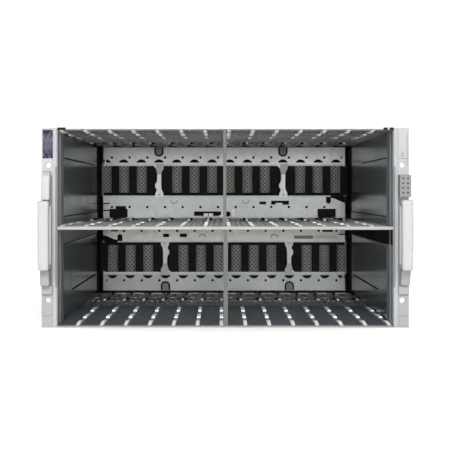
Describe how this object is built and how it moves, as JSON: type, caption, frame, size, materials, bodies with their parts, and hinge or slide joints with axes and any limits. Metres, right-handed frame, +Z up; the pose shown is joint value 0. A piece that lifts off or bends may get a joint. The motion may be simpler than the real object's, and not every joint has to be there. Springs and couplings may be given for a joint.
{
  "type": "blade server chassis",
  "caption": "Rack-mount blade enclosure with two rows of vertical bays, guide rails, a central connector carrier, rack ears with handles and hot-swap rear modules.",
  "frame": {"origin": "on the floor plane, under the middle of the enclosure", "axes": "+X to the right seen from the front, +Y to the rear, +Z up"},
  "size_m": [0.4826, 0.977, 0.262],
  "materials": {
    "zinc_sheet": "satin zinc-plated sheet",
    "slate_sheet": "dark semi-matt coated sheet",
    "white_plastic": "smooth white",
    "black_plastic": "matt black",
    "grey_steel": "satin grey",
    "board": "solder mask",
    "ear_silver": "satin silver",
    "ear_white": "satin white",
    "badge": "dark plate",
    "grey_plastic": "satin grey",
    "screw_steel": "plated",
    "latch_blue": "satin",
    "dark_module": "matt dark"
  },
  "bodies": {
    "chassis": {"top_cover": "zinc_sheet", "bottom_pan": "zinc_sheet", "side_wall_left": "zinc_sheet", "side_wall_right": "zinc_sheet", "bay_liner_left": "slate_sheet", "bay_liner_right": "slate_sheet", "ceiling_plate": "slate_sheet", "mid_shelf": "slate_sheet", "floor_plate": "slate_sheet", "guide_rails_upper": "white_plastic", "guide_rails_lower": "white_plastic", "centre_posts": "zinc_sheet", "carrier_upper": "zinc_sheet", "carrier_lower": "zinc_sheet", "carrier_pillars": "white_plastic", "midplane_board": "board", "blade_connectors": "black_plastic", "air_screens": "grey_steel", "power_sockets": "black_plastic", "rack_ear_left": "ear_silver", "rack_ear_right": "ear_silver", "ear_handle_left": "ear_white", "ear_handle_right": "ear_white", "badge_plate": "badge", "marker_plate": "grey_plastic", "rear_shelves": "zinc_sheet", "rear_dividers": "zinc_sheet", "fasteners": "screw_steel"},
    "fan_1": {"fan_1_case": "zinc_sheet"},
    "fan_1_fan": {"fan_1_rotor": "black_plastic"},
    "fan_1_thumb": {"fan_1_latch": "latch_blue"},
    "fan_2": {"fan_2_case": "zinc_sheet"},
    "fan_2_fan": {"fan_2_rotor": "black_plastic"},
    "fan_2_thumb": {"fan_2_latch": "latch_blue"},
    "fan_3": {"fan_3_case": "zinc_sheet"},
    "fan_3_fan": {"fan_3_rotor": "black_plastic"},
    "fan_3_thumb": {"fan_3_latch": "latch_blue"},
    "fan_4": {"fan_4_case": "zinc_sheet"},
    "fan_4_fan": {"fan_4_rotor": "black_plastic"},
    "fan_4_thumb": {"fan_4_latch": "latch_blue"},
    "psu_1": {"psu_1_case": "grey_steel"},
    "psu_1_fan": {"psu_1_rotor": "black_plastic"},
    "psu_1_thumb": {"psu_1_latch": "latch_blue"},
    "psu_2": {"psu_2_case": "grey_steel"},
    "psu_2_fan": {"psu_2_rotor": "black_plastic"},
    "psu_2_thumb": {"psu_2_latch": "latch_blue"},
    "psu_3": {"psu_3_case": "grey_steel"},
    "psu_3_fan": {"psu_3_rotor": "black_plastic"},
    "psu_3_thumb": {"psu_3_latch": "latch_blue"},
    "psu_4": {"psu_4_case": "grey_steel"},
    "psu_4_fan": {"psu_4_rotor": "black_plastic"},
    "psu_4_thumb": {"psu_4_latch": "latch_blue"},
    "switch_1": {"switch_1_case": "dark_module"},
    "switch_1_ejector": {"switch_1_lever": "latch_blue"},
    "switch_2": {"switch_2_case": "dark_module"},
    "switch_2_ejector": {"switch_2_lever": "latch_blue"},
    "manager_1": {"manager_1_case": "grey_steel"},
    "manager_1_ejector": {"manager_1_lever": "latch_blue"},
    "manager_2": {"manager_2_case": "grey_steel"},
    "manager_2_ejector": {"manager_2_lever": "latch_blue"}
  },
  "joints": [
    {"name": "fan_1_slide", "type": "slide", "parent": "chassis", "child": "fan_1", "axis": [0, 1, 0], "range_m": [0, 0.25]},
    {"name": "fan_1_spin", "type": "hinge", "parent": "fan_1", "child": "fan_1_fan", "pos_m": [-0.1763, 0.435, 0.2167], "axis": [0, 1, 0], "continuous": true},
    {"name": "fan_1_press", "type": "hinge", "parent": "fan_1", "child": "fan_1_thumb", "pos_m": [-0.1323, 0.4546, 0.1842], "axis": [0, 0, -1], "range_deg": [0, 12], "stiffness_Nm_per_rad": 0.2},
    {"name": "fan_2_slide", "type": "slide", "parent": "chassis", "child": "fan_2", "axis": [0, 1, 0], "range_m": [0, 0.25]},
    {"name": "fan_2_spin", "type": "hinge", "parent": "fan_2", "child": "fan_2_fan", "pos_m": [-0.06475, 0.435, 0.2167], "axis": [0, 1, 0], "continuous": true},
    {"name": "fan_2_press", "type": "hinge", "parent": "fan_2", "child": "fan_2_thumb", "pos_m": [-0.02075, 0.4546, 0.1842], "axis": [0, 0, -1], "range_deg": [0, 12], "stiffness_Nm_per_rad": 0.2},
    {"name": "fan_3_slide", "type": "slide", "parent": "chassis", "child": "fan_3", "axis": [0, 1, 0], "range_m": [0, 0.25]},
    {"name": "fan_3_spin", "type": "hinge", "parent": "fan_3", "child": "fan_3_fan", "pos_m": [0.04675, 0.435, 0.2167], "axis": [0, 1, 0], "continuous": true},
    {"name": "fan_3_press", "type": "hinge", "parent": "fan_3", "child": "fan_3_thumb", "pos_m": [0.09075, 0.4546, 0.1842], "axis": [0, 0, -1], "range_deg": [0, 12], "stiffness_Nm_per_rad": 0.2},
    {"name": "fan_4_slide", "type": "slide", "parent": "chassis", "child": "fan_4", "axis": [0, 1, 0], "range_m": [0, 0.25]},
    {"name": "fan_4_spin", "type": "hinge", "parent": "fan_4", "child": "fan_4_fan", "pos_m": [0.1583, 0.435, 0.2167], "axis": [0, 1, 0], "continuous": true},
    {"name": "fan_4_press", "type": "hinge", "parent": "fan_4", "child": "fan_4_thumb", "pos_m": [0.2023, 0.4546, 0.1842], "axis": [0, 0, -1], "range_deg": [0, 12], "stiffness_Nm_per_rad": 0.2},
    {"name": "psu_1_slide", "type": "slide", "parent": "chassis", "child": "psu_1", "axis": [0, 1, 0], "range_m": [0, 0.25]},
    {"name": "psu_1_spin", "type": "hinge", "parent": "psu_1", "child": "psu_1_fan", "pos_m": [-0.1883, 0.435, 0.0451], "axis": [0, 1, 0], "continuous": true},
    {"name": "psu_1_press", "type": "hinge", "parent": "psu_1", "child": "psu_1_thumb", "pos_m": [-0.1323, 0.4546, 0.0126], "axis": [0, 0, -1], "range_deg": [0, 12], "stiffness_Nm_per_rad": 0.2},
    {"name": "psu_2_slide", "type": "slide", "parent": "chassis", "child": "psu_2", "axis": [0, 1, 0], "range_m": [0, 0.25]},
    {"name": "psu_2_spin", "type": "hinge", "parent": "psu_2", "child": "psu_2_fan", "pos_m": [-0.07675, 0.435, 0.0451], "axis": [0, 1, 0], "continuous": true},
    {"name": "psu_2_press", "type": "hinge", "parent": "psu_2", "child": "psu_2_thumb", "pos_m": [-0.02075, 0.4546, 0.0126], "axis": [0, 0, -1], "range_deg": [0, 12], "stiffness_Nm_per_rad": 0.2},
    {"name": "psu_3_slide", "type": "slide", "parent": "chassis", "child": "psu_3", "axis": [0, 1, 0], "range_m": [0, 0.25]},
    {"name": "psu_3_spin", "type": "hinge", "parent": "psu_3", "child": "psu_3_fan", "pos_m": [0.03475, 0.435, 0.0451], "axis": [0, 1, 0], "continuous": true},
    {"name": "psu_3_press", "type": "hinge", "parent": "psu_3", "child": "psu_3_thumb", "pos_m": [0.09075, 0.4546, 0.0126], "axis": [0, 0, -1], "range_deg": [0, 12], "stiffness_Nm_per_rad": 0.2},
    {"name": "psu_4_slide", "type": "slide", "parent": "chassis", "child": "psu_4", "axis": [0, 1, 0], "range_m": [0, 0.25]},
    {"name": "psu_4_spin", "type": "hinge", "parent": "psu_4", "child": "psu_4_fan", "pos_m": [0.1463, 0.435, 0.0451], "axis": [0, 1, 0], "continuous": true},
    {"name": "psu_4_press", "type": "hinge", "parent": "psu_4", "child": "psu_4_thumb", "pos_m": [0.2023, 0.4546, 0.0126], "axis": [0, 0, -1], "range_deg": [0, 12], "stiffness_Nm_per_rad": 0.2},
    {"name": "switch_1_slide", "type": "slide", "parent": "chassis", "child": "switch_1", "axis": [0, 1, 0], "range_m": [0, 0.25]},
    {"name": "switch_1_eject", "type": "hinge", "parent": "switch_1", "child": "switch_1_ejector", "pos_m": [-0.01355, 0.4546, 0.1517], "axis": [0, 0, -1], "range_deg": [0, 70]},
    {"name": "switch_2_slide", "type": "slide", "parent": "chassis", "child": "switch_2", "axis": [0, 1, 0], "range_m": [0, 0.25]},
    {"name": "switch_2_eject", "type": "hinge", "parent": "switch_2", "child": "switch_2_ejector", "pos_m": [0.20955, 0.4546, 0.1517], "axis": [0, 0, -1], "range_deg": [0, 70]},
    {"name": "manager_1_slide", "type": "slide", "parent": "chassis", "child": "manager_1", "axis": [0, 1, 0], "range_m": [0, 0.25]},
    {"name": "manager_1_eject", "type": "hinge", "parent": "manager_1", "child": "manager_1_ejector", "pos_m": [-0.01355, 0.4546, 0.1103], "axis": [0, 0, -1], "range_deg": [0, 70]},
    {"name": "manager_2_slide", "type": "slide", "parent": "chassis", "child": "manager_2", "axis": [0, 1, 0], "range_m": [0, 0.25]},
    {"name": "manager_2_eject", "type": "hinge", "parent": "manager_2", "child": "manager_2_ejector", "pos_m": [0.20955, 0.4546, 0.1103], "axis": [0, 0, -1], "range_deg": [0, 70]}
  ]
}
